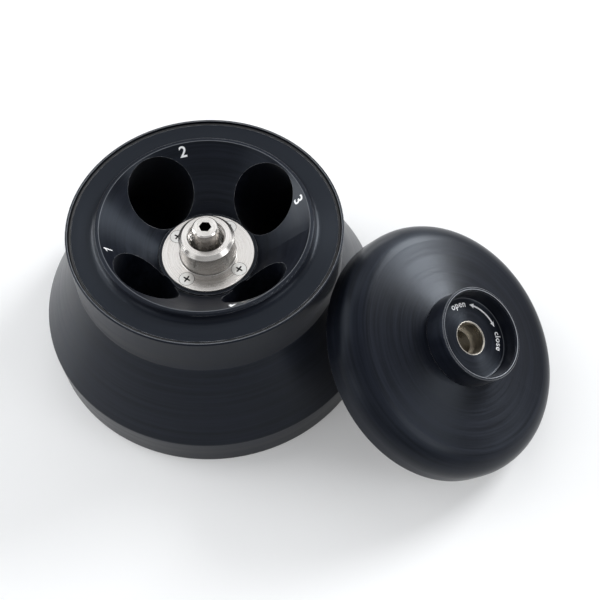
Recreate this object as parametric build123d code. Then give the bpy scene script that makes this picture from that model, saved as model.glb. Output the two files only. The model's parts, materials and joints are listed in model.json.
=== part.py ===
from build123d import *
import os
from math import cos, radians, sin

# Fixed angle rotor for a laboratory centrifuge, with its lid taken off and leaning against it.
# Millimetres. +Z is up and the rotor's axis. The origin is on that axis, in the plane of the foot.
# The lid is modelled about its own axis, from the plane that it seats on, and then laid in place.

# ---- rotor body: rim ----
rim_radius = 74.5
rim_height = 92.5
lip_width = 1.2
rim_ledge_drop = 1.3
seal_groove_width = 1.8
seal_groove_depth = 1.7
seal_cord = 1.78
inner_lip_radius = 58.6
inner_lip_width = 2.5
inner_lip_rise = 3.1
inner_lip_foot_round = 3.4
inner_lip_outer_round = 0.8
lip_round = 0.5

# ---- rotor body: band, skirt and foot ----
band_height = 26.1
band_taper = 0.3
band_foot_round = 1.2
skirt_radius = 96.2
skirt_widest_height = 21.7
skirt_round = 2.5
skirt_foot_radius = 95.05
foot_chamfer = 1.3
foot_ring_width = 7.75
foot_ring_height = 1.2

# ---- rotor body: bowl, tube bores and underside ----
bowl_floor_radius = 27.8
bowl_depth = 30.6
boss_ring_width = 1.8
boss_ring_height = 0.8
bore_count = 4
bore_first_azimuth = 45.0
bore_radius = 19.2
bore_tilt = 25.0
bore_mouth_radius = 40.4
bore_mouth_drop = 14.4
bore_depth = 82.0
bore_overrun = 24.0
cavity_mouth_radius = 44.0
cavity_ceiling_radius = 31.0
body_web_thickness = 20.5
cavity_round = 2.0

# ---- hub collar, in the middle of the bowl ----
flange_radius = 25.5
flange_clearance = 0.1
flange_recess_depth = 2.5
flange_thickness = 4.2
spigot_radius = 14.0
spigot_clearance = 0.02
spigot_length = 8.5
collar_radius = 15.4
collar_length = 15.8
collar_chamfer = 2.0
collar_foot_round = 0.8
collar_thread_radius = 10.0
collar_mouth_radius = 10.6
screw_seat_drop = 0.7
screw_web_thickness = 8.0
web_recess_radius = 7.0

# ---- flange screws: M4 countersunk ----
flange_screw_count = 4
flange_screw_first_azimuth = 62.0
flange_screw_pitch_radius = 20.6
flange_screw_radius = 2.0
flange_screw_head_radius = 4.1
flange_screw_length = 12.0
flange_screw_head_edge = 0.3
cross_recess_width = 0.9
cross_recess_span = 4.2
cross_recess_depth = 1.2

# ---- clearances round every screw ----
screw_hole_clearance = 0.2
countersink_clearance = 0.1
countersink_rim_clearance = 0.25
tapped_hole_clearance = 0.05
tapped_hole_spare = 1.2

# ---- flange seal ----
flange_seal_radius = 16.0
flange_seal_cord = 1.6
flange_seal_groove_width = 1.8
flange_seal_groove_depth = 1.6

# ---- drive hub, in the underside cavity ----
drive_flange_radius = 23.0
drive_flange_thickness = 5.5
drive_tube_radius = 12.5
drive_tube_length = 24.5
shaft_radius = 7.0
shaft_bore_chamfer = 0.8
shaft_bore_length = 27.0
drive_relief_radius = 6.2
drive_edge_chamfer = 0.5
drive_screw_count = 3
drive_screw_first_azimuth = 30.0
drive_screw_pitch_radius = 18.5
drive_screw_radius = 2.0
drive_screw_head_radius = 3.5
drive_screw_head_height = 4.0
drive_screw_length = 13.5
drive_screw_socket = 3.0
drive_screw_socket_depth = 2.2
drive_pin_count = 2
drive_pin_pitch_radius = 9.75
drive_pin_radius = 1.5
drive_pin_length = 10.0
drive_pin_seat = 6.0

# ---- fixing screw, captive in the collar ----
fixing_head_radius = 7.0
fixing_head_height = 23.5
fixing_head_chamfer = 0.7
fixing_socket = 6.0
fixing_socket_depth = 6.0
fixing_shank_radius = 4.0
fixing_tip_gap = 1.0
fixing_tip_chamfer = 0.8
fixing_hole_clearance = 0.05
fixing_washer_radius = 7.9
fixing_washer_thickness = 1.5
fixing_washer_clearance = 0.3
fixing_travel = 5.8
retaining_groove_depth = 0.8
retaining_ring_thickness = 0.8
retaining_ring_radius = 5.6
retaining_ring_mouth = 3.4

# ---- lid shell, heights from the plane that it seats on ----
lid_radius = 71.2
lid_edge_chamfer = 0.8
lid_band_height = 8.1
lid_shoulder_radius = 13.6
lid_shoulder_sweep = 85.0
lid_top_height = 26.5
lid_top_radius = 25.9
lid_opening_radius = 64.0
lid_ceiling_height = 18.2
lid_ceiling_edge_height = 16.0
lid_ceiling_round = 9.0
lid_boss_radius = 19.5
lid_boss_height = 8.0
lid_boss_round = 3.0
sleeve_seal_height = 14.0
sleeve_seal_cord = 1.8
sleeve_seal_groove_width = 2.0
sleeve_seal_clearance = 0.1

# ---- lid knob, lock sleeve and what holds them ----
knob_radius = 25.6
knob_gap = 0.3
knob_height = 14.0
knob_edge_chamfer = 0.5
knob_rim_radius = 23.5
knob_rim_chamfer = 0.8
knob_floor_radius = 22.5
knob_floor_thickness = 4.6
knob_floor_round = 1.0
sleeve_flange_radius = 20.0
sleeve_flange_thickness = 3.0
sleeve_flange_clearance = 0.6
sleeve_spigot_radius = 9.4
sleeve_spigot_clearance = 0.02
sleeve_counterbore_radius = 8.6
sleeve_counterbore_depth = 10.0
sleeve_bore_radius = 7.3
sleeve_edge_chamfer = 0.4
sleeve_body_radius = 12.0
sleeve_running_clearance = 0.05
sleeve_shoulder_depth = 7.9
sleeve_neck_radius = 9.9
sleeve_neck_length = 2.0
sleeve_thread_core_radius = 9.1
sleeve_thread_length = 9.6
sleeve_thread_chamfer = 1.0
slide_washer_thickness = 1.0
thrust_washer_radius = 16.5
thrust_washer_thickness = 1.0
washer_hole_clearance = 0.3
circlip_groove_depth = 0.8
circlip_thickness = 1.2
circlip_radius = 14.8
circlip_mouth = 9.0
collar_seal_cord = 1.7
knob_screw_count = 3
knob_screw_pitch_radius = 16.0
knob_screw_radius = 1.5
knob_screw_head_radius = 3.0
knob_screw_head_edge = 0.2
knob_screw_length = 6.0
knob_screw_spare = 0.4

# ---- where the lid leans ----
lid_azimuth = -16.5
lid_lean = 31.8
lid_rest_gap = 0.1

# ---- heights that follow, from the rim down ----
inner_lip_height = rim_height + inner_lip_rise
ledge_height = rim_height - rim_ledge_drop
groove_floor_height = ledge_height - seal_groove_depth
band_foot_height = rim_height - band_height
bowl_floor_height = inner_lip_height - bowl_depth
boss_top_height = bowl_floor_height + boss_ring_height
bore_mouth_height = inner_lip_height - bore_mouth_drop
flange_floor_height = bowl_floor_height - flange_recess_depth
flange_top_height = flange_floor_height + flange_thickness
collar_height = flange_top_height + collar_length
spigot_foot_height = flange_floor_height - spigot_length
screw_seat_height = flange_top_height - screw_seat_drop
web_foot_height = screw_seat_height - screw_web_thickness
cavity_ceiling_height = flange_floor_height - body_web_thickness
drive_flange_foot_height = cavity_ceiling_height - drive_flange_thickness
drive_tube_foot_height = drive_flange_foot_height - drive_tube_length
shaft_shoulder_height = drive_tube_foot_height + shaft_bore_length
fixing_head_foot_height = screw_seat_height + fixing_washer_thickness
fixing_top_height = fixing_head_foot_height + fixing_head_height
fixing_shank_foot_height = shaft_shoulder_height + fixing_tip_gap
retaining_groove_height = web_foot_height - fixing_travel - retaining_ring_thickness

# ---- radii that follow ----
lip_inner_radius = rim_radius - lip_width
ledge_radius = lip_inner_radius - seal_groove_width
bowl_top_radius = inner_lip_radius - inner_lip_width
band_foot_radius = rim_radius - band_taper
foot_outer_radius = skirt_foot_radius - foot_chamfer
foot_inner_radius = foot_outer_radius - foot_ring_width
recess_radius = flange_radius + flange_clearance
boss_ring_radius = recess_radius + boss_ring_width
body_bore_radius = spigot_radius + spigot_clearance
fixing_hole_radius = fixing_shank_radius + fixing_hole_clearance
retaining_groove_radius = fixing_shank_radius - retaining_groove_depth

# ---- lid: radii and heights that follow ----

slide_washer_floor = lid_top_height + knob_gap - sleeve_flange_thickness - slide_washer_thickness
sleeve_flange_foot = slide_washer_floor + slide_washer_thickness
knob_foot = lid_top_height + knob_gap
knob_top = knob_foot + knob_height
knob_floor = knob_foot + knob_floor_thickness
lid_recess_radius = sleeve_flange_radius + sleeve_flange_clearance
lid_bore_radius = sleeve_body_radius + sleeve_running_clearance
thrust_washer_foot = lid_boss_height - thrust_washer_thickness
circlip_foot = thrust_washer_foot - circlip_thickness
circlip_inner_radius = sleeve_body_radius - circlip_groove_depth
washer_hole_radius = sleeve_body_radius + washer_hole_clearance
sleeve_seal_radius = sleeve_body_radius + sleeve_seal_clearance + sleeve_seal_cord / 2
sleeve_shoulder = -sleeve_shoulder_depth
sleeve_neck_foot = sleeve_shoulder - sleeve_neck_length
sleeve_foot = sleeve_neck_foot - sleeve_thread_length


# ---- helpers ----
def turned(corners):
    """Revolve a half section about Z; a corner is (radius, height) or (radius, height, its round)."""
    points = [corner[:2] for corner in corners]
    rounds = [corner[2] if len(corner) == 3 else 0 for corner in corners]
    outline = FilletPolyline(*points, radius=rounds, close=True)
    return revolve(Plane.XZ * make_face(outline), Axis.Z)


def rod(radius, foot, top):
    """A solid cylinder about Z, between two heights."""
    return Pos(0, 0, foot) * Cylinder(radius, top - foot, align=(Align.CENTER, Align.CENTER, Align.MIN))


def ring(inner, outer, foot, top):
    """A flat ring about Z, between two heights."""
    return rod(outer, foot, top) - rod(inner, foot, top)


def cord_ring(radius, cord, foot):
    """A round cord closed into a ring, whose lowest point is at the given height."""
    return Pos(0, 0, foot + cord / 2) * Torus(radius, cord / 2)


def around(shape, count, first_azimuth):
    """Copies of a shape that stands on the +X side, evenly spaced about Z."""
    return [Rot(0, 0, first_azimuth + 360 * n / count) * shape for n in range(count)]


def cut(solid, tools):
    """Take each tool away from the solid, one after the other."""
    for tool in tools:
        solid = solid - tool
    return solid


def countersunk_screw(radius, head_radius, head_edge, length):
    """A countersunk screw down from height 0, with a cross recess in its head."""
    blank = turned([
        (0, 0),
        (head_radius, 0),
        (head_radius, -head_edge),
        (radius, -head_edge - head_radius + radius),
        (radius, -length),
        (0, -length),
    ])
    top = (Align.CENTER, Align.CENTER, Align.MAX)
    slot = Box(cross_recess_span, cross_recess_width, cross_recess_depth, align=top)
    return cut(blank, [slot, Rot(0, 0, 90) * slot])


def countersunk_hole(radius, head_radius, head_edge, depth):
    """The hole that such a screw passes through, with its clearances."""
    hole_radius = radius + screw_hole_clearance
    sink_radius = head_radius + countersink_clearance
    sink_mouth_radius = head_radius + countersink_rim_clearance
    return turned([
        (0, head_edge),
        (sink_mouth_radius, head_edge),
        (sink_mouth_radius, -head_edge),
        (sink_radius, -head_edge),
        (hole_radius, -head_edge - sink_radius + hole_radius),
        (hole_radius, -depth),
        (0, -depth),
    ])


# ---- rotor body ----
def tube_bore():
    """The space of one tube, down from height 0: a cylinder with a hemispherical end."""
    end = JernArc((0, -bore_depth), (1, 0), bore_radius, 90)
    wall = Line(end @ 1, (bore_radius, bore_overrun))
    mouth = Line(wall @ 1, (0, bore_overrun))
    middle = Line(mouth @ 1, end @ 0)
    space = revolve(Plane.XZ * make_face([end, wall, mouth, middle]), Axis.Z)
    return Pos(bore_mouth_radius, 0, bore_mouth_height) * Rot(0, -bore_tilt, 0) * space


def rotor_blank():
    """The body as it leaves the lathe, before its bores: rim, bowl, skirt and underside."""
    return turned([
        (body_bore_radius, flange_floor_height),
        (recess_radius, flange_floor_height),
        (recess_radius, boss_top_height),
        (boss_ring_radius, boss_top_height),
        (bowl_floor_radius, bowl_floor_height),
        (bowl_top_radius, inner_lip_height, lip_round),
        (inner_lip_radius, inner_lip_height, inner_lip_outer_round),
        (inner_lip_radius, ledge_height, inner_lip_foot_round),
        (ledge_radius, ledge_height),
        (ledge_radius, groove_floor_height),
        (lip_inner_radius, groove_floor_height),
        (lip_inner_radius, rim_height),
        (rim_radius, rim_height, lip_round),
        (band_foot_radius, band_foot_height, band_foot_round),
        (skirt_radius, skirt_widest_height, skirt_round),
        (skirt_foot_radius, foot_chamfer),
        (foot_outer_radius, 0),
        (foot_inner_radius, 0),
        (foot_inner_radius, foot_ring_height),
        (cavity_mouth_radius, foot_ring_height),
        (cavity_ceiling_radius, cavity_ceiling_height, cavity_round),
        (body_bore_radius, cavity_ceiling_height),
    ])


def rotor_body():
    """One solid: the turned blank with its tube bores, tapped holes and seal groove."""
    flange_hole_foot = flange_top_height - flange_screw_length - tapped_hole_spare
    flange_hole = Pos(flange_screw_pitch_radius, 0, 0) * rod(
        flange_screw_radius + tapped_hole_clearance, flange_hole_foot, flange_floor_height
    )
    drive_hole_top = drive_flange_foot_height + drive_screw_length + tapped_hole_spare
    drive_hole = Pos(drive_screw_pitch_radius, 0, 0) * rod(
        drive_screw_radius + tapped_hole_clearance, cavity_ceiling_height, drive_hole_top
    )
    seal_groove = ring(
        flange_seal_radius - flange_seal_groove_width / 2,
        flange_seal_radius + flange_seal_groove_width / 2,
        flange_floor_height - flange_seal_groove_depth,
        flange_floor_height,
    )
    bores = around(tube_bore(), bore_count, bore_first_azimuth)
    flange_holes = around(flange_hole, flange_screw_count, flange_screw_first_azimuth)
    drive_holes = around(drive_hole, drive_screw_count, drive_screw_first_azimuth)
    return cut(rotor_blank(), [*bores, *flange_holes, *drive_holes, seal_groove])


def rim_seal_ring():
    return cord_ring((ledge_radius + lip_inner_radius) / 2, seal_cord, groove_floor_height)


# ---- hub collar and what fastens it ----
def hub_collar():
    """The flange with its spigot below, and above it the collar that the lid screws into."""
    blank = turned([
        (fixing_hole_radius, web_foot_height),
        (fixing_hole_radius, screw_seat_height),
        (collar_thread_radius, screw_seat_height),
        (collar_thread_radius, collar_height - collar_mouth_radius + collar_thread_radius),
        (collar_mouth_radius, collar_height),
        (collar_radius - collar_chamfer, collar_height),
        (collar_radius, collar_height - collar_chamfer),
        (collar_radius, flange_top_height, collar_foot_round),
        (flange_radius, flange_top_height),
        (flange_radius, flange_floor_height),
        (spigot_radius, flange_floor_height),
        (spigot_radius, spigot_foot_height),
        (web_recess_radius, spigot_foot_height),
        (web_recess_radius, web_foot_height),
    ])
    hole = Pos(flange_screw_pitch_radius, 0, flange_top_height) * countersunk_hole(
        flange_screw_radius, flange_screw_head_radius, flange_screw_head_edge, flange_thickness
    )
    return cut(blank, around(hole, flange_screw_count, flange_screw_first_azimuth))


def flange_screws():
    screw = Pos(flange_screw_pitch_radius, 0, flange_top_height) * countersunk_screw(
        flange_screw_radius, flange_screw_head_radius, flange_screw_head_edge, flange_screw_length
    )
    return Compound(around(screw, flange_screw_count, flange_screw_first_azimuth))


def flange_seal_ring():
    return cord_ring(flange_seal_radius, flange_seal_cord, flange_floor_height - flange_seal_groove_depth)


# ---- fixing screw ----
def hexagon_socket(across_flats, depth):
    """A hexagonal hole down from height 0."""
    outline = RegularPolygon(across_flats / 2, 6, major_radius=False)
    return extrude(outline, -depth)


def fixing_screw():
    """The tall round head with its socket, and the shank with a groove for the retaining ring."""
    blank = turned([
        (0, fixing_shank_foot_height),
        (fixing_shank_radius - fixing_tip_chamfer, fixing_shank_foot_height),
        (fixing_shank_radius, fixing_shank_foot_height + fixing_tip_chamfer),
        (fixing_shank_radius, retaining_groove_height),
        (retaining_groove_radius, retaining_groove_height),
        (retaining_groove_radius, retaining_groove_height + retaining_ring_thickness),
        (fixing_shank_radius, retaining_groove_height + retaining_ring_thickness),
        (fixing_shank_radius, fixing_head_foot_height),
        (fixing_head_radius, fixing_head_foot_height),
        (fixing_head_radius, fixing_top_height - fixing_head_chamfer),
        (fixing_head_radius - fixing_head_chamfer, fixing_top_height),
        (0, fixing_top_height),
    ])
    return blank - Pos(0, 0, fixing_top_height) * hexagon_socket(fixing_socket, fixing_socket_depth)


def screw_washer():
    hole_radius = fixing_shank_radius + fixing_washer_clearance
    return ring(hole_radius, fixing_washer_radius, screw_seat_height, fixing_head_foot_height)


def screw_retaining_ring():
    """A flat ring with a mouth on one side, pushed into the shank's groove."""
    top = retaining_groove_height + retaining_ring_thickness
    whole = ring(retaining_groove_radius, retaining_ring_radius, retaining_groove_height, top)
    outwards = (Align.MIN, Align.CENTER, Align.CENTER)
    mouth = Box(retaining_ring_radius, retaining_ring_mouth, 2 * top, align=outwards)
    return whole - mouth


# ---- drive hub ----
def drive_hub():
    """The spigot in the body's bore, the flange against the ceiling and the tube for the shaft."""
    blank = turned([
        (shaft_radius + shaft_bore_chamfer, drive_tube_foot_height),
        (shaft_radius, drive_tube_foot_height + shaft_bore_chamfer),
        (shaft_radius, shaft_shoulder_height),
        (drive_relief_radius, shaft_shoulder_height),
        (drive_relief_radius, spigot_foot_height),
        (spigot_radius, spigot_foot_height),
        (spigot_radius, cavity_ceiling_height),
        (drive_flange_radius, cavity_ceiling_height),
        (drive_flange_radius, drive_flange_foot_height),
        (drive_tube_radius, drive_flange_foot_height),
        (drive_tube_radius, drive_tube_foot_height + drive_edge_chamfer),
        (drive_tube_radius - drive_edge_chamfer, drive_tube_foot_height),
    ])
    screw_hole = Pos(drive_screw_pitch_radius, 0, 0) * rod(
        drive_screw_radius + screw_hole_clearance, drive_flange_foot_height, cavity_ceiling_height
    )
    pin_hole = Pos(drive_pin_pitch_radius, 0, 0) * rod(
        drive_pin_radius, drive_tube_foot_height, drive_tube_foot_height + drive_pin_seat
    )
    screw_holes = around(screw_hole, drive_screw_count, drive_screw_first_azimuth)
    return cut(blank, [*screw_holes, *around(pin_hole, drive_pin_count, 0)])


def drive_hub_screws():
    """Socket cap screws, their heads below the flange."""
    head_foot = drive_flange_foot_height - drive_screw_head_height
    head = rod(drive_screw_head_radius, head_foot, drive_flange_foot_height)
    shank_top = drive_flange_foot_height + drive_screw_length
    shank = rod(drive_screw_radius, drive_flange_foot_height, shank_top)
    socket = Pos(0, 0, head_foot + drive_screw_socket_depth)
    socket = socket * hexagon_socket(drive_screw_socket, drive_screw_socket_depth)
    screw = Pos(drive_screw_pitch_radius, 0, 0) * (head + shank - socket)
    return Compound(around(screw, drive_screw_count, drive_screw_first_azimuth))


def drive_pins():
    top = drive_tube_foot_height + drive_pin_seat
    pin = Pos(drive_pin_pitch_radius, 0, 0) * rod(drive_pin_radius, top - drive_pin_length, top)
    return Compound(around(pin, drive_pin_count, 0))


# ---- lid shell ----
def lid_shell():
    """A dish with a rounded shoulder and a hollowed top, open below, with a boss in its middle."""
    band = Line((lid_radius, lid_edge_chamfer), (lid_radius, lid_band_height))
    shoulder = JernArc(band @ 1, (0, 1), lid_shoulder_radius, lid_shoulder_sweep)
    dish = TangentArc(shoulder @ 1, (lid_top_radius, lid_top_height), tangent=shoulder % 1)
    seal_outer = sleeve_seal_radius + sleeve_seal_cord / 2
    seal_top = sleeve_seal_height + sleeve_seal_groove_width / 2
    seal_foot = sleeve_seal_height - sleeve_seal_groove_width / 2
    recess = Polyline(
        dish @ 1,
        (lid_recess_radius, lid_top_height),
        (lid_recess_radius, slide_washer_floor),
        (lid_bore_radius, slide_washer_floor),
        (lid_bore_radius, seal_top),
        (seal_outer, seal_top),
        (seal_outer, seal_foot),
        (lid_bore_radius, seal_foot),
        (lid_bore_radius, lid_boss_height),
    )
    hollow = FilletPolyline(
        recess @ 1,
        (lid_boss_radius, lid_boss_height),
        (lid_boss_radius, lid_ceiling_height),
        (lid_opening_radius, lid_ceiling_edge_height),
        (lid_opening_radius, 0),
        radius=[0, lid_boss_round, lid_ceiling_round],
    )
    edge = Polyline(hollow @ 1, (lid_radius - lid_edge_chamfer, 0), band @ 0)
    outline = make_face([band, shoulder, dish, *recess.edges(), *hollow.edges(), *edge.edges()])
    return revolve(Plane.XZ * outline, Axis.Z)


def sleeve_seal_ring():
    return cord_ring(sleeve_seal_radius, sleeve_seal_cord, sleeve_seal_height - sleeve_seal_cord / 2)


def knob_slide_washer():
    return ring(washer_hole_radius, sleeve_flange_radius, slide_washer_floor, sleeve_flange_foot)


def lid_thrust_washer():
    return ring(washer_hole_radius, thrust_washer_radius, thrust_washer_foot, lid_boss_height)


# ---- lid knob and lock sleeve ----
def lid_knob():
    """The grip: a low drum with a raised rim round a recessed face."""
    floor_hole_radius = sleeve_spigot_radius + sleeve_spigot_clearance
    blank = turned([
        (floor_hole_radius, knob_foot),
        (floor_hole_radius, knob_floor),
        (knob_floor_radius, knob_floor, knob_floor_round),
        (knob_rim_radius, knob_top - knob_rim_chamfer),
        (knob_rim_radius + knob_rim_chamfer, knob_top),
        (knob_radius - knob_edge_chamfer, knob_top),
        (knob_radius, knob_top - knob_edge_chamfer),
        (knob_radius, knob_foot),
    ])
    hole_top = sleeve_flange_foot + knob_screw_length + knob_screw_spare
    hole_radius = knob_screw_radius + tapped_hole_clearance
    hole = Pos(knob_screw_pitch_radius, 0, 0) * rod(hole_radius, knob_foot, hole_top)
    return cut(blank, around(hole, knob_screw_count, 0))


def lock_sleeve():
    """The steel sleeve: flange under the knob, body in the lid's bore, threaded end below."""
    ledge_height_inside = knob_floor - sleeve_counterbore_depth
    blank = turned([
        (sleeve_bore_radius, sleeve_foot),
        (sleeve_bore_radius, ledge_height_inside),
        (sleeve_counterbore_radius, ledge_height_inside),
        (sleeve_counterbore_radius, knob_floor - sleeve_edge_chamfer),
        (sleeve_counterbore_radius + sleeve_edge_chamfer, knob_floor),
        (sleeve_spigot_radius, knob_floor),
        (sleeve_spigot_radius, knob_foot),
        (sleeve_flange_radius, knob_foot),
        (sleeve_flange_radius, sleeve_flange_foot),
        (sleeve_body_radius, sleeve_flange_foot),
        (sleeve_body_radius, thrust_washer_foot),
        (circlip_inner_radius, thrust_washer_foot),
        (circlip_inner_radius, circlip_foot),
        (sleeve_body_radius, circlip_foot),
        (sleeve_body_radius, sleeve_shoulder),
        (sleeve_neck_radius, sleeve_shoulder),
        (sleeve_neck_radius, sleeve_neck_foot),
        (sleeve_thread_core_radius, sleeve_neck_foot),
        (sleeve_thread_core_radius, sleeve_foot + sleeve_thread_chamfer),
        (sleeve_thread_core_radius - sleeve_thread_chamfer, sleeve_foot),
    ])
    hole = Pos(knob_screw_pitch_radius, 0, sleeve_flange_foot) * Rot(180, 0, 0) * countersunk_hole(
        knob_screw_radius, knob_screw_head_radius, knob_screw_head_edge, sleeve_flange_thickness
    )
    return cut(blank, around(hole, knob_screw_count, 0))


def knob_screws():
    screw = Pos(knob_screw_pitch_radius, 0, sleeve_flange_foot) * Rot(180, 0, 0) * countersunk_screw(
        knob_screw_radius, knob_screw_head_radius, knob_screw_head_edge, knob_screw_length
    )
    return Compound(around(screw, knob_screw_count, 0))


def sleeve_circlip():
    """A flat ring with a mouth, in the sleeve's groove."""
    whole = ring(circlip_inner_radius, circlip_radius, circlip_foot, thrust_washer_foot)
    outwards = (Align.MIN, Align.CENTER, Align.CENTER)
    mouth = Box(circlip_radius, circlip_mouth, lid_top_height, align=outwards)
    return whole - mouth


def collar_seal_ring():
    radius = sleeve_neck_radius + collar_seal_cord / 2
    return cord_ring(radius, collar_seal_cord, sleeve_shoulder - collar_seal_cord)


# ---- the lid leans outwards: its lowest edge on the bench, its highest against the rotor's band ----
lean = radians(lid_lean)
lid_centre_height = (lid_radius - lid_edge_chamfer) * sin(lean)
lid_reach = lid_radius * cos(lean) - lid_edge_chamfer * sin(lean)
lid_centre_distance = rim_radius + lid_rest_gap + lid_reach
lid_place = Rot(0, 0, lid_azimuth) * Pos(lid_centre_distance, 0, lid_centre_height) * Rot(0, lid_lean, 0)

rotor_parts = [
    rotor_body,
    rim_seal_ring,
    hub_collar,
    flange_screws,
    flange_seal_ring,
    fixing_screw,
    screw_washer,
    screw_retaining_ring,
    drive_hub,
    drive_hub_screws,
    drive_pins,
]
lid_parts = [
    lid_shell,
    sleeve_seal_ring,
    knob_slide_washer,
    lid_thrust_washer,
    lid_knob,
    lock_sleeve,
    knob_screws,
    sleeve_circlip,
    collar_seal_ring,
]

os.makedirs("parts", exist_ok=True)
for make in rotor_parts:
    export_step(make(), f"parts/{make.__name__}.step")
for make in lid_parts:
    export_step(lid_place * make(), f"parts/{make.__name__}.step")
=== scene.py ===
import json
import math

import bmesh
import bpy
from mathutils import Matrix, Vector
from mathutils.bvhtree import BVHTree


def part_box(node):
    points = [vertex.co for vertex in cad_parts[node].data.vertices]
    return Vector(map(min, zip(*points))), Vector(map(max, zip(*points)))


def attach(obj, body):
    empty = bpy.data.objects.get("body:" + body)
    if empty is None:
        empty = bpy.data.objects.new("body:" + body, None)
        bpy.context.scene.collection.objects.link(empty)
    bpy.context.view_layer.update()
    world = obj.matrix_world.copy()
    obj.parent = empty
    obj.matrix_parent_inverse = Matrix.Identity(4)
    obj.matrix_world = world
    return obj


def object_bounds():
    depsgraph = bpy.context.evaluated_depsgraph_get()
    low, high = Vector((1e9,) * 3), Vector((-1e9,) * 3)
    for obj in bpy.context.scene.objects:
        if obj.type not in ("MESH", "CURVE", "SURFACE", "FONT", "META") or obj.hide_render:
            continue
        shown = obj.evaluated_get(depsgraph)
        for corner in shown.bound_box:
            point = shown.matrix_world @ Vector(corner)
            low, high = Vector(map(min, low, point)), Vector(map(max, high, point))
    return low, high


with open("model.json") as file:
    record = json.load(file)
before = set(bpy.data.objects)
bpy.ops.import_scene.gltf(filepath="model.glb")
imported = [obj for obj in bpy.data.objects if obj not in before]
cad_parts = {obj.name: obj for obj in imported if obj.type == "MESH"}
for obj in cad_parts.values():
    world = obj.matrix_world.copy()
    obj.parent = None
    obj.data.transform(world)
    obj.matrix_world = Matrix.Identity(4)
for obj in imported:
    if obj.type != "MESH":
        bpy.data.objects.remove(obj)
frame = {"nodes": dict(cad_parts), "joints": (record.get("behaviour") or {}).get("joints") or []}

MM = 0.001
cad_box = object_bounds()

# ---------------------------------------------------------------- places, from the frame
ROTOR_AXIS = Vector((0.0, 0.0, 1.0))
ROTOR_POINT = Vector((0.0, 0.0, 0.0))
lid_joint = [j for j in frame["joints"] if j["name"] == "lid_lock_turn"][0]
LID_POINT = Vector(lid_joint["pos_m"])
LID_AXIS = Vector(lid_joint["axis"]).normalized()
LID_ACROSS = ROTOR_AXIS.cross(LID_AXIS).normalized()     # level, along the lid's own Y
LID_DOWN = LID_ACROSS.cross(LID_AXIS).normalized()       # downhill and outwards, the lid's own X


def on_lid(radius, angle, height):
    """A point given in the lid's own frame: radius and height in mm, angle in degrees from downhill."""
    a = math.radians(angle)
    across = LID_DOWN * math.cos(a) + LID_ACROSS * math.sin(a)
    return LID_POINT + across * radius * MM + LID_AXIS * height * MM


# ---------------------------------------------------------------- material building blocks
class Nodes:
    """A short hand for one material's node tree."""

    def __init__(self, name):
        self.material = bpy.data.materials.new(name)
        self.material.use_nodes = True
        self.tree = self.material.node_tree
        self.tree.nodes.clear()
        self.out = self.add("ShaderNodeOutputMaterial")
        self.shader = self.add("ShaderNodeBsdfPrincipled")
        self.link(self.shader.outputs["BSDF"], self.out.inputs["Surface"])

    def add(self, kind, **settings):
        node = self.tree.nodes.new(kind)
        for key, value in settings.items():
            setattr(node, key, value)
        return node

    def link(self, a, b):
        self.tree.links.new(a, b)

    def put(self, socket, value):
        """Links value if it is another node's output, and otherwise writes it as the socket's own value."""
        if isinstance(value, bpy.types.NodeSocket):
            self.link(value, socket)
        else:
            socket.default_value = value

    def vector(self, operation, a, b=None, scale=None):
        node = self.add("ShaderNodeVectorMath", operation=operation)
        self.put(node.inputs[0], a)
        if b is not None:
            self.put(node.inputs[1], b)
        if scale is not None:
            self.put(node.inputs["Scale"], scale)
        number = operation in ("DOT_PRODUCT", "LENGTH", "DISTANCE")
        return node.outputs["Value"] if number else node.outputs["Vector"]

    def number(self, operation, a, b=None, clamp=False):
        node = self.add("ShaderNodeMath", operation=operation, use_clamp=clamp)
        self.put(node.inputs[0], a)
        if b is not None:
            self.put(node.inputs[1], b)
        return node.outputs[0]

    def spread(self, value, low, high, to_low, to_high):
        node = self.add("ShaderNodeMapRange")
        self.put(node.inputs["Value"], value)
        node.inputs["From Min"].default_value = low
        node.inputs["From Max"].default_value = high
        node.inputs["To Min"].default_value = to_low
        node.inputs["To Max"].default_value = to_high
        return node.outputs["Result"]

    def blend(self, factor, first, second):
        node = self.add("ShaderNodeMix", data_type="RGBA")
        self.put(node.inputs["Factor"], factor)
        self.put(node.inputs["A"], first)
        self.put(node.inputs["B"], second)
        return node.outputs["Result"]

    def noise(self, vector, scale, detail=2.0, rough=0.5, w=None):
        node = self.add("ShaderNodeTexNoise", noise_dimensions="4D" if w is not None else "3D")
        self.put(node.inputs["Vector"], vector)
        if w is not None:
            self.put(node.inputs["W"], w)
        node.inputs["Scale"].default_value = scale
        node.inputs["Detail"].default_value = detail
        node.inputs["Roughness"].default_value = rough
        return node.outputs["Fac"]

    def place(self):
        return self.add("ShaderNodeTexCoord").outputs["Object"]

    def bump(self, height, strength, distance):
        node = self.add("ShaderNodeBump")
        node.inputs["Strength"].default_value = strength
        node.inputs["Distance"].default_value = distance
        self.link(height, node.inputs["Height"])
        return node.outputs["Normal"]

    def edge(self, radius, low, high):
        """1 on the outer and inner edges of the piece, within radius of them, and 0 on its faces."""
        bevel = self.add("ShaderNodeBevel", samples=6)
        bevel.inputs["Radius"].default_value = radius
        true = self.add("ShaderNodeNewGeometry").outputs["Normal"]
        cosine = self.vector("DOT_PRODUCT", bevel.outputs["Normal"], true)
        return self.spread(self.number("SUBTRACT", 1.0, cosine), low, high, 0.0, 1.0)


def colour(r, g, b):
    return (r, g, b, 1.0)


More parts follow.
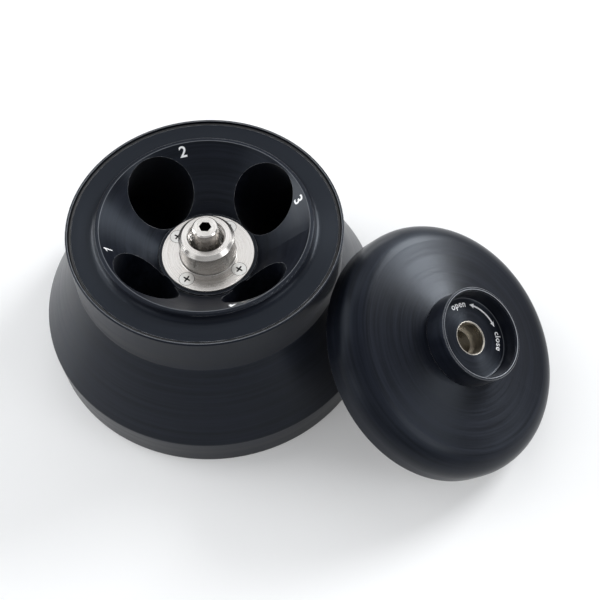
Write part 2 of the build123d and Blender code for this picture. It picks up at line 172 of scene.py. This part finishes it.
def around(m, point, axis):
    """Radius from an axis, height along it, the outward direction and the direction round it."""
    d = m.vector("SUBTRACT", m.place(), tuple(point))
    height = m.vector("DOT_PRODUCT", d, tuple(axis))
    along = m.vector("SCALE", tuple(axis), scale=height)
    flat = m.vector("SUBTRACT", d, along)
    radius = m.vector("LENGTH", flat)
    outward = m.vector("NORMALIZE", flat)
    turn = m.vector("CROSS_PRODUCT", tuple(axis), outward)
    return radius, height, outward, turn


BROAD_RINGS = 0.5       # how coarse the second set of rings is against the first: smaller is coarser


def turning_grain(m, point, axis, fine, sweep):
    """Rings left by turning: quick changes with radius and height, slow ones round the axis."""
    radius, height, outward, turn = around(m, point, axis)
    rings = m.vector("SCALE", tuple(axis), scale=m.number("MULTIPLY", radius, fine))
    slow = m.vector("SCALE", outward, scale=sweep)
    where = m.vector("ADD", rings, slow)
    depth = m.number("MULTIPLY", height, fine)
    close = m.noise(where, 1.0, detail=3.0, rough=0.65, w=depth)
    broad = m.noise(where, BROAD_RINGS, detail=2.0, rough=0.6, w=m.number("MULTIPLY", depth, BROAD_RINGS))
    both = m.number("ADD", m.number("MULTIPLY", close, 0.4), m.number("MULTIPLY", broad, 0.6))
    return both, turn


def within(m, radius, height, inner, outer, low, high):
    """1 between two radii and two heights about an axis, all in mm, and 0 elsewhere."""
    soft = 0.05
    made = None
    for value, limit, rises in ((radius, inner, 1), (radius, outer, 0), (height, low, 1), (height, high, 0)):
        ends = (0.0, 1.0) if rises else (1.0, 0.0)
        part = m.spread(value, (limit - soft) * MM, (limit + soft) * MM, *ends)
        made = part if made is None else m.number("MULTIPLY", made, part)
    return made


SMUDGE_SCALE = 28.0          # noise scales are per metre
CLOUD_SCALE = 9.0
WEAR_AND_HIGHLIGHT_SCALE = 260.0
GRAIN_DEPTH = 0.02 * MM
SHEEN_ROUGHNESS = 0.35
COAT_ROUGHNESS = 0.28
COAT_IOR = 1.2
QUARTER_TURN = 0.25          # turns the long side of the gloss across the rings


def turned_metal(name, point, axis, dark, light, wear_and_highlight_tone, finish):
    """Turned and surface-treated metal: ring grain, soft smudges, edges lightened partly by wear and partly
    by painted highlight, optional bands of painted sheen and painted highlight, optional painted shade in
    hollows, and an anisotropic gloss.
    """
    m = Nodes(name)
    grain, turn = turning_grain(m, point, axis, finish["fine"], finish["sweep"])
    smudge = m.noise(m.place(), SMUDGE_SCALE, detail=4.0, rough=0.6)
    cloud = m.noise(m.place(), CLOUD_SCALE, detail=2.0)
    mixed = m.number("ADD", m.number("MULTIPLY", grain, 0.8), m.number("MULTIPLY", smudge, 0.2))
    base = m.blend(m.spread(mixed, 0.40, 0.60, 0.0, 1.0), dark, light)
    radius, height = around(m, point, axis)[:2]
    # Painted sheen and painted highlights: bands about the axis take their own colour.
    for *place, tone in finish.get("bands", ()):
        base = m.blend(within(m, radius, height, *place), base, tone)
    # Edges lightened towards the edge tone in broken patches: partly wear, partly painted highlight along the
    # chamfers.
    edge = m.edge(finish["edge"], 0.01, 0.10)
    broken = m.spread(m.noise(m.place(), WEAR_AND_HIGHLIGHT_SCALE, detail=3.0), 0.38, 0.6, 0.25, 1.0)
    wear_and_highlight = m.number("MULTIPLY", m.number("MULTIPLY", edge, broken), finish["wear_and_highlight"], clamp=True)
    shade = m.blend(wear_and_highlight, base, wear_and_highlight_tone)
    # Painted shade: a hollow given in the finish is darkened towards a near-black.
    if "hollow" in finish:
        shade = m.blend(within(m, radius, height, *finish["hollow"]), shade, HOLLOW_PAINTED_SHADE)
    m.put(m.shader.inputs["Base Color"], shade)
    low, high = finish["rough"]
    matte = m.spread(m.number("ADD", m.number("MULTIPLY", smudge, 0.5), m.number("MULTIPLY", cloud, 0.5)),
                     0.35, 0.65, low, high)
    uneven = finish["uneven"]
    m.put(m.shader.inputs["Roughness"], m.number("ADD", matte, m.spread(grain, 0.41, 0.59, -uneven, uneven)))
    m.shader.inputs["Sheen Weight"].default_value = finish["sheen"]
    m.shader.inputs["Sheen Roughness"].default_value = SHEEN_ROUGHNESS
    m.shader.inputs["Coat Weight"].default_value = finish["coat"]
    m.shader.inputs["Coat Roughness"].default_value = COAT_ROUGHNESS
    m.shader.inputs["Coat IOR"].default_value = COAT_IOR
    turn_world = m.add("ShaderNodeVectorTransform", vector_type="VECTOR",
                       convert_from="OBJECT", convert_to="WORLD")
    m.link(turn, turn_world.inputs[0])
    m.link(turn_world.outputs[0], m.shader.inputs["Tangent"])
    m.link(m.bump(grain, finish["bump"], GRAIN_DEPTH), m.shader.inputs["Normal"])
    m.shader.inputs["Metallic"].default_value = finish["metal"]
    m.shader.inputs["IOR"].default_value = finish["ior"]
    m.shader.inputs["Anisotropic"].default_value = finish["aniso"]
    m.shader.inputs["Anisotropic Rotation"].default_value = QUARTER_TURN
    if "tint" in finish:
        m.shader.inputs["Specular Tint"].default_value = finish["tint"]
    return m.material


ANODISED = {
    "fine": 1500.0, "sweep": 1.6, "edge": 0.3 * MM, "wear_and_highlight": 0.8, "rough": (0.33, 0.39), "uneven": 0.05,
    "bump": 0.8, "metal": 0.0, "ior": 1.26, "aniso": 0.85, "coat": 0.55, "sheen": 0.03,
    "tint": colour(0.70, 0.83, 1.0),
}
STEEL = {
    "fine": 2200.0, "sweep": 2.2, "edge": 0.25 * MM, "wear_and_highlight": 0.5, "rough": (0.24, 0.32), "uneven": 0.03,
    "bump": 0.3, "metal": 1.0, "ior": 1.5, "aniso": 0.6, "coat": 0.0, "sheen": 0.0,
}

BLACK = colour(0.0010, 0.0015, 0.0038)
BLACK_LIGHT = colour(0.0075, 0.0090, 0.0150)
# Painted sheen: the rim's flat ledge is given a lighter black than the rest.
LEDGE_PAINTED_SHEEN = colour(0.006, 0.0075, 0.0115)
# Edge tone of the anodised pieces: partly bare aluminium where worn, partly painted highlight along the
# chamfers.
BARE_ALUMINIUM_AND_HIGHLIGHT = colour(0.42, 0.43, 0.45)
# Painted highlights: thin light lines where the chamfers at the lips and rims catch the light.
DIM_PAINTED_HIGHLIGHT = colour(0.10, 0.105, 0.115)
BRIGHT_PAINTED_HIGHLIGHT = colour(0.36, 0.375, 0.40)
# Painted shade for hollows that catch little light.
HOLLOW_PAINTED_SHADE = colour(0.02, 0.02, 0.02)
STEEL_DARK = colour(0.50, 0.475, 0.45)
STEEL_LIGHT = colour(0.68, 0.655, 0.63)
# Edge tone of the steel pieces: partly wear, partly painted highlight along the chamfers.
STEEL_EDGE = colour(0.88, 0.87, 0.85)


def satin(name, dark, light, rough, scale, bump, metal=0.0, ior=1.45, hollow=None):
    """A moulded or drawn piece: cloudy colour, fine pits and an uneven sheen, and painted shade in a hollow
    where one is given.
    """
    m = Nodes(name)
    cloud = m.noise(m.place(), scale, detail=4.0, rough=0.6)
    pits = m.noise(m.place(), scale * 14.0, detail=2.0)
    tone = m.number("ADD", m.number("MULTIPLY", cloud, 0.6), m.number("MULTIPLY", pits, 0.4))
    shade = m.blend(m.spread(tone, 0.35, 0.65, 0.0, 1.0), dark, light)
    # Painted shade: a hollow given here is darkened towards a near-black.
    if hollow:
        radius, height = around(m, ROTOR_POINT, ROTOR_AXIS)[:2]
        shade = m.blend(within(m, radius, height, *hollow), shade, HOLLOW_PAINTED_SHADE)
    m.put(m.shader.inputs["Base Color"], shade)
    m.put(m.shader.inputs["Roughness"], m.spread(tone, 0.3, 0.7, rough[0], rough[1]))
    m.link(m.bump(pits, bump, 0.05 * MM), m.shader.inputs["Normal"])
    m.shader.inputs["Metallic"].default_value = metal
    m.shader.inputs["IOR"].default_value = ior
    return m.material


def with_changes(finish, **changes):
    made = dict(finish)
    made.update(changes)
    return made


# Bands about the axis, painted sheen on the rim's flat ledge and painted highlights as thin lines at the lips
# and the knob's rims: inner and outer radius, low and high in mm about the axis, and their colour.
# Painted sheen on the rim's flat ledge.
RIM_LEDGE = (61.0, 72.0, 90.4, 91.9, LEDGE_PAINTED_SHEEN)
# Painted highlights as thin light lines at the rim lip, the bowl mouth and the knob's rims.
RIM_LIP_LINE = (73.3, 73.65, 92.0, 93.0, DIM_PAINTED_HIGHLIGHT)
BOWL_MOUTH_LINE = (56.05, 56.45, 95.0, 96.0, DIM_PAINTED_HIGHLIGHT)
KNOB_MOUTH_LINE = (24.1, 24.42, 40.0, 41.0, BRIGHT_PAINTED_HIGHLIGHT)
KNOB_OUTER_LINE = (25.2, 25.45, 40.0, 41.0, DIM_PAINTED_HIGHLIGHT)
KNOB_FLOOR_LINE = (22.1, 22.35, 30.5, 32.5, DIM_PAINTED_HIGHLIGHT)
screw_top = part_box("fixing_screw")[1].z / MM
# Hollows darkened with painted shade, given the same way without a colour.
SCREW_SOCKET = (-1.0, 3.6, 0.0, screw_top - 0.4)
flange_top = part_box("flange_screws")[1].z / MM
FLANGE_HOLLOWS = (15.8, 25.3, flange_top - 2.0, flange_top - 0.12)

ROTOR_FINISH = with_changes(ANODISED, bands=(RIM_LEDGE, RIM_LIP_LINE, BOWL_MOUTH_LINE))
KNOB_FINISH = with_changes(ANODISED, rough=(0.30, 0.37), edge=0.2 * MM,
                           bands=(KNOB_MOUTH_LINE, KNOB_OUTER_LINE, KNOB_FLOOR_LINE))

slots = {
    "rotor_anodised": turned_metal("rotor_anodised_skin", ROTOR_POINT, ROTOR_AXIS, BLACK, BLACK_LIGHT,
                                   BARE_ALUMINIUM_AND_HIGHLIGHT, ROTOR_FINISH),
    "lid_anodised": turned_metal("lid_anodised_skin", LID_POINT, LID_AXIS, BLACK, BLACK_LIGHT,
                                 BARE_ALUMINIUM_AND_HIGHLIGHT, ANODISED),
    "knob_anodised": turned_metal("knob_anodised_skin", LID_POINT, LID_AXIS, BLACK, BLACK_LIGHT,
                                  BARE_ALUMINIUM_AND_HIGHLIGHT, KNOB_FINISH),
    "collar_steel": turned_metal("collar_steel_skin", ROTOR_POINT, ROTOR_AXIS, STEEL_DARK, STEEL_LIGHT,
                                 STEEL_EDGE, with_changes(STEEL, hollow=FLANGE_HOLLOWS)),
    "fixing_steel": turned_metal("fixing_steel_skin", ROTOR_POINT, ROTOR_AXIS, STEEL_DARK, STEEL_LIGHT,
                                 STEEL_EDGE, with_changes(STEEL, rough=(0.2, 0.28), hollow=SCREW_SOCKET)),
    "sleeve_steel": turned_metal("sleeve_steel_skin", LID_POINT, LID_AXIS, colour(0.46, 0.425, 0.37),
                                 colour(0.62, 0.58, 0.51), STEEL_EDGE, STEEL),
    "hub_steel": turned_metal("hub_steel_skin", ROTOR_POINT, ROTOR_AXIS, STEEL_DARK, STEEL_LIGHT,
                              STEEL_EDGE, with_changes(STEEL, rough=(0.3, 0.38))),
    "fastener_steel": satin("fastener_steel_skin", colour(0.55, 0.54, 0.52), colour(0.72, 0.71, 0.69),
                            (0.26, 0.36), 420.0, 0.15, metal=1.0, hollow=FLANGE_HOLLOWS),
    "spring_steel": satin("spring_steel_skin", colour(0.20, 0.20, 0.21), colour(0.32, 0.32, 0.33),
                          (0.3, 0.42), 380.0, 0.15, metal=1.0),
    "seal_rubber": satin("seal_rubber_skin", colour(0.012, 0.012, 0.013), colour(0.024, 0.024, 0.026),
                         (0.5, 0.62), 300.0, 0.35),
    "washer_polymer": satin("washer_polymer_skin", colour(0.60, 0.58, 0.52), colour(0.70, 0.68, 0.62),
                            (0.42, 0.55), 260.0, 0.2),
}

for name, node in frame["nodes"].items():
    for place in node.material_slots:
        was = place.material.name.split(".")[0] if place.material else ""
        if was not in slots:
            print("node", name, "has a slot with no finish:", was)
            continue
        place.material = slots[was]


# ---------------------------------------------------------------- pieces made here
def piece(name, verts, faces, material, body, smooth=True):
    mesh = bpy.data.meshes.new(name)
    mesh.from_pydata([tuple(v) for v in verts], [], faces)
    mesh.validate()
    mesh.update()
    for face in mesh.polygons:
        face.use_smooth = smooth
    made = bpy.data.objects.new(name, mesh)
    bpy.context.scene.collection.objects.link(made)
    made.data.materials.append(material)
    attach(made, body)
    return made


THREAD_SINK = 0.12           # mm that a thread's foot lies inside the metal it stands on
THREAD_FOOT_SHARE = 0.44     # half the ridge's width at its foot, as a share of the pitch
THREAD_CREST_SHARE = 0.07    # and at its crest


def thread(name, point, axis, root, crest, pitch, low, high, material, body):
    """One start of a V thread: a ridge that winds from low to high and fades in and out at its ends.
    root and crest are radii; a crest inside the root makes a nut's thread. All lengths in mm."""
    steps = 72
    turns = (high - low) / pitch
    count = int(turns * steps)
    across = axis.orthogonal().normalized()
    side = axis.cross(across)
    inside = crest < root
    foot = root + (THREAD_SINK if inside else -THREAD_SINK)
    half = THREAD_FOOT_SHARE * pitch
    flat = THREAD_CREST_SHARE * pitch
    verts, faces = [], []
    for i in range(count + 1):
        t = i / steps
        fade = min(1.0, 2.0 * t, 2.0 * (turns - t))
        fade = max(fade, 0.02)
        tip = root + (crest - root) * fade
        angle = 2.0 * math.pi * t
        out = across * math.cos(angle) + side * math.sin(angle)
        h = low + pitch * t
        for radius, rise in ((foot, -half), (tip, -flat), (tip, flat), (foot, half)):
            verts.append(point + out * radius * MM + axis * (h + rise) * MM)
    for i in range(count):
        for k in range(4):
            a, b = 4 * i + k, 4 * i + (k + 1) % 4
            quad = (a, b, b + 4, a + 4)
            faces.append(quad if not inside else quad[::-1])
    ends = ((3, 2, 1, 0), tuple(4 * count + k for k in range(4)))
    faces.extend(ends if not inside else [e[::-1] for e in ends])
    return piece(name, verts, faces, material, body)


COLLAR_BORE, COLLAR_CREST = 10.0, 9.2
SLEEVE_CORE, SLEEVE_CREST = 9.1, 9.9
THREAD_PITCH = 1.5
collar_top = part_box("hub_collar")[1].z / MM
thread("collar_thread", ROTOR_POINT, ROTOR_AXIS, COLLAR_BORE, COLLAR_CREST, THREAD_PITCH,
       collar_top - 14.0, collar_top - 1.6, slots["collar_steel"], "rotor")
thread("sleeve_thread", LID_POINT, LID_AXIS, SLEEVE_CORE, SLEEVE_CREST, THREAD_PITCH,
       -18.6, -10.8, slots["sleeve_steel"], "lid_lock")


# ---------------------------------------------------------------- printed marks
def print_white():
    """White marking ink: slightly uneven."""
    m = Nodes("marking_white")
    fleck = m.noise(m.place(), 2600.0, detail=2.0)
    m.put(m.shader.inputs["Base Color"], m.blend(m.spread(fleck, 0.35, 0.6, 0.0, 1.0),
                                                 colour(0.84, 0.85, 0.87), colour(0.95, 0.95, 0.96)))
    m.put(m.shader.inputs["Roughness"], m.spread(fleck, 0.3, 0.7, 0.45, 0.6))
    m.link(m.bump(fleck, 0.2, 0.02 * MM), m.shader.inputs["Normal"])
    return m.material


INK = print_white()
INK_LIFT = 0.03          # mm that the ink stands above the metal
INK_STEP = 0.5           # mm, the longest edge left in a mark that follows a curve


def letters(text, size, space=1.0):
    """The outline of a word as a flat mesh in mm, centred on its own middle: vertices and triangles."""
    curve = bpy.data.curves.new("mark", "FONT")
    curve.body = text
    curve.size = size
    curve.space_character = space
    curve.align_x = "CENTER"
    curve.align_y = "CENTER"
    curve.resolution_u = 6
    curve.offset = 0.018 * size
    helper = bpy.data.objects.new("mark", curve)
    bpy.context.scene.collection.objects.link(helper)
    bpy.context.view_layer.update()
    flat = bpy.data.meshes.new_from_object(helper.evaluated_get(bpy.context.evaluated_depsgraph_get()))
    bpy.data.objects.remove(helper)
    bpy.data.curves.remove(curve)
    bm = bmesh.new()
    bm.from_mesh(flat)
    bpy.data.meshes.remove(flat)
    bmesh.ops.remove_doubles(bm, verts=bm.verts, dist=0.001)
    bmesh.ops.triangulate(bm, faces=bm.faces)
    for _ in range(5):
        long = [e for e in bm.edges if e.calc_length() > INK_STEP]
        if not long:
            break
        bmesh.ops.subdivide_edges(bm, edges=long, cuts=1)
        bmesh.ops.triangulate(bm, faces=bm.faces)
    bm.verts.index_update()
    verts = [(v.co.x, v.co.y) for v in bm.verts]
    faces = [tuple(v.index for v in f.verts) for f in bm.faces]
    bm.free()
    return verts, faces


body_skin = BVHTree.FromObject(frame["nodes"]["rotor_body"], bpy.context.evaluated_depsgraph_get())
BOWL_START, BOWL_START_HEIGHT = 27.8, 65.0      # mm: radius of the bowl's cone at one height ...
BOWL_SLOPE = 0.9248                             # ... and how much it grows for each mm of height
RISE = 1.0 / math.hypot(1.0, BOWL_SLOPE)
UP_CONE = (BOWL_SLOPE * RISE, RISE)             # outward and upward parts of one mm up the cone


def on_bowl(azimuth, radius, x, y):
    """Where a flat mark's point lands in the bowl: x mm along the cone's ring, y mm up the cone."""
    r = radius + UP_CONE[0] * y
    z = BOWL_START_HEIGHT + (r - BOWL_START) / BOWL_SLOPE
    angle = math.radians(azimuth) - x / radius
    out = Vector((math.cos(angle), math.sin(angle), 0.0))
    normal = -out * UP_CONE[1] + ROTOR_AXIS * UP_CONE[0]
    start = out * r * MM + ROTOR_AXIS * z * MM + normal * 2.0 * MM
    hit = body_skin.ray_cast(start, -normal, 4.0 * MM)[0]
    return hit + normal * INK_LIFT * MM


def numeral_one(height):
    """A figure one with its flag, as a flat mesh in mm: a stem and a slanted stroke, in short steps."""
    half, thick, reach, drop = height / 2, height * 0.12, height * 0.27, height * 0.22
    verts, faces = [], []
    strokes = (((0.0, -half), (0.0, half), thick / 2, 0.0),
               ((-reach, half - drop - thick), (0.0, half - thick), 0.0, thick / 2))
    for start, end, wide, tall in strokes:
        steps = 12
        first = len(verts)
        for i in range(steps + 1):
            share = i / steps
            x = start[0] + (end[0] - start[0]) * share
            y = start[1] + (end[1] - start[1]) * share
            verts += [(x - wide, y - tall), (x + wide, y + tall)]
        for i in range(steps):
            a = first + 2 * i
            faces.append((a, a + 1, a + 3, a + 2))
    return verts, faces


NUMERAL_HEIGHT = 6.0     # mm
NUMERAL_RADIUS = 52.7    # mm from the rotor's axis to a numeral's middle
FONT_SHARE = 0.69        # of its size, the height of a numeral in this font
for numeral, azimuth in (("1", 201.0), ("2", 110.0), ("3", 23.0), ("4", 292.0)):
    if numeral == "1":
        flat, triangles = numeral_one(NUMERAL_HEIGHT)
    else:
        flat, triangles = letters(numeral, NUMERAL_HEIGHT / FONT_SHARE)
    raised = [on_bowl(azimuth, NUMERAL_RADIUS, x, y) for x, y in flat]
    piece("numeral_" + numeral, raised, triangles, INK, "rotor", smooth=False)

KNOB_FLOOR = 31.4        # mm, height of the floor of the knob's recess
MARK_RADIUS = 18.8       # mm from the lid's axis to the middle of its marks


def lid_word(name, text, centre, size):
    """A word on the knob's floor, bent round the sleeve, its feet towards the sleeve."""
    flat, triangles = letters(text, size, 1.08)
    placed = []
    for x, y in flat:
        angle = centre - math.degrees(x / MARK_RADIUS)
        placed.append(on_lid(MARK_RADIUS + y, angle, KNOB_FLOOR + INK_LIFT))
    piece(name, placed, triangles, INK, "lid_lock", smooth=False)


def lid_arrow(name, start, end, width, head_width, head_length):
    """A curved arrow with a head at each end, between two angles."""
    tip = math.degrees(head_length / MARK_RADIUS)
    steps, head_steps = 40, 8
    inner, outer = [], []
    for i in range(steps + 1):
        angle = (start - tip) + (end - start + 2.0 * tip) * i / steps
        inner.append(on_lid(MARK_RADIUS - width / 2, angle, KNOB_FLOOR + INK_LIFT))
        outer.append(on_lid(MARK_RADIUS + width / 2, angle, KNOB_FLOOR + INK_LIFT))
    verts = inner + outer
    faces = [(i, i + steps + 1, i + steps + 2, i + 1) for i in range(steps)]
    for angle, point_at in ((start - tip, start), (end + tip, end)):
        first = len(verts)
        for k in range(head_steps + 1):
            share = k / head_steps
            a = angle + (point_at - angle) * share
            half = head_width / 2 * (1.0 - share)
            verts.append(on_lid(MARK_RADIUS - half, a, KNOB_FLOOR + INK_LIFT))
            verts.append(on_lid(MARK_RADIUS + half, a, KNOB_FLOOR + INK_LIFT))
        for k in range(head_steps):
            quad = (first + 2 * k, first + 2 * k + 1, first + 2 * k + 3, first + 2 * k + 2)
            faces.append(quad if point_at > angle else quad[::-1])
    piece(name, verts, faces, INK, "lid_lock", smooth=False)


lid_word("mark_open", "open", 137.0, 4.9)
lid_word("mark_close", "close", 27.0, 4.9)
lid_arrow("mark_turn_arrow", 113.0, 52.0, 0.95, 2.7, 2.8)


# ---------------------------------------------------------------- floor, light and camera
FLOOR_HALF = 60.0       # half the floor's side, in metres
FLOOR_DROP = 0.05 * MM  # keeps the floor clear of the foot
FLOOR_LIT = 0.7         # the lamps light the floor this far out, in metres
FLOOR_PLAIN = 2.4       # and from here on it is the plain white of the background
FLOOR_GLOW = 0.2        # share of that white in the lit part


def floor():
    mesh = bpy.data.meshes.new("floor")
    corners = [(x * FLOOR_HALF, y * FLOOR_HALF, 0) for x, y in ((-1, -1), (1, -1), (1, 1), (-1, 1))]
    mesh.from_pydata(corners, [], [(0, 1, 2, 3)])
    made = bpy.data.objects.new("floor", mesh)
    made.location.z = -FLOOR_DROP
    bpy.context.scene.collection.objects.link(made)
    m = Nodes("pale_floor")
    m.shader.inputs["Base Color"].default_value = colour(0.90, 0.90, 0.90)
    m.shader.inputs["Roughness"].default_value = 0.9
    m.shader.inputs["Specular IOR Level"].default_value = 0.0
    white = m.add("ShaderNodeEmission")
    white.inputs["Strength"].default_value = 1.0
    rays = m.add("ShaderNodeLightPath")
    seen = m.number("ADD", rays.outputs["Is Camera Ray"], rays.outputs["Is Glossy Ray"])
    seen = m.number("ADD", seen, rays.outputs["Is Transmission Ray"], clamp=True)
    both = m.add("ShaderNodeMixShader")
    share = m.spread(m.vector("LENGTH", m.place()), FLOOR_LIT, FLOOR_PLAIN, FLOOR_GLOW, 1.0)
    m.link(m.number("MULTIPLY", seen, share), both.inputs["Fac"])
    m.link(m.shader.outputs["BSDF"], both.inputs[1])
    m.link(white.outputs["Emission"], both.inputs[2])
    m.link(both.outputs["Shader"], m.out.inputs["Surface"])
    mesh.materials.append(m.material)


floor()

COOL = (0.965, 0.982, 1.0)        # the light's own tint

world = bpy.data.worlds.new("studio")
bpy.context.scene.world = world
world.use_nodes = True
tree = world.node_tree
tree.nodes.clear()
direction = tree.nodes.new("ShaderNodeTexCoord")
parts = tree.nodes.new("ShaderNodeSeparateXYZ")
tree.links.new(direction.outputs["Generated"], parts.inputs[0])
sky_ramp = tree.nodes.new("ShaderNodeValToRGB")
tree.links.new(parts.outputs["Z"], sky_ramp.inputs["Fac"])
# height in the sky, and its grey
SKY = ((0.0, 0.8), (0.05, 0.5), (0.15, 0.2), (0.6, 0.74), (1.0, 0.3))
for n, (height, grey) in enumerate(SKY):
    stop = sky_ramp.color_ramp.elements[n] if n < 2 else sky_ramp.color_ramp.elements.new(height)
    stop.position = height
    stop.color = colour(*(grey * part for part in COOL))
light_of_sky = tree.nodes.new("ShaderNodeBackground")
tree.links.new(sky_ramp.outputs["Color"], light_of_sky.inputs["Color"])
sky = tree.nodes.new("ShaderNodeOutputWorld")
tree.links.new(light_of_sky.outputs[0], sky.inputs["Surface"])

LAMP_DISTANCE = 2.4
middle = (cad_box[0] + cad_box[1]) / 2


def softbox(name, azimuth, elevation, width, height, radiance):
    """A soft rectangular lamp that faces the object: bearing from +X, elevation, size in metres and glow."""
    a, e = math.radians(azimuth), math.radians(elevation)
    towards = Vector((math.cos(a) * math.cos(e), math.sin(a) * math.cos(e), math.sin(e)))
    lamp = bpy.data.lights.new(name, "AREA")
    lamp.shape = "RECTANGLE"
    lamp.size = width
    lamp.size_y = height
    lamp.energy = radiance * math.pi * width * height
    lamp.color = COOL
    made = bpy.data.objects.new(name, lamp)
    made.location = middle + towards * LAMP_DISTANCE
    made.rotation_mode = "QUATERNION"
    made.rotation_quaternion = (-towards).to_track_quat("-Z", "Y")
    bpy.context.scene.collection.objects.link(made)


softbox("softbox_back_right", 42.0, 31.0, 0.9, 0.7, 22.0)
softbox("softbox_back_top", 100.0, 58.0, 1.4, 0.8, 1.1)
softbox("softbox_back", 100.0, 8.0, 1.2, 0.4, 4.0)
softbox("softbox_left", 168.0, 15.0, 1.8, 0.8, 8.0)
softbox("softbox_left_top", 165.0, 45.0, 1.2, 1.2, 2.2)
softbox("softbox_front_left", -140.0, 20.0, 1.0, 0.8, 1.8)
softbox("softbox_right", -16.0, 32.0, 1.0, 0.8, 3.8)

CAMERA_LENS = 65.34
CAMERA_PLACE = Vector((72.1, -340.8, 563.3)) * MM
CAMERA_FORWARD = Vector((-0.0326, 0.5334, -0.8453))
CAMERA_RIGHT = Vector((0.9977, 0.0681, 0.0045))
camera_data = bpy.data.cameras.new("camera")
camera_data.sensor_width = 36.0
camera_data.lens = CAMERA_LENS
camera_data.clip_end = 50.0
camera = bpy.data.objects.new("camera", camera_data)
forward = CAMERA_FORWARD.normalized()
right = (CAMERA_RIGHT - forward * CAMERA_RIGHT.dot(forward)).normalized()
up = right.cross(forward)
turned_to = Matrix((right, up, -forward)).transposed().to_4x4()
camera.matrix_world = Matrix.Translation(CAMERA_PLACE) @ turned_to
bpy.context.scene.collection.objects.link(camera)
bpy.context.scene.camera = camera

bpy.context.scene.view_settings.view_transform = "Standard"
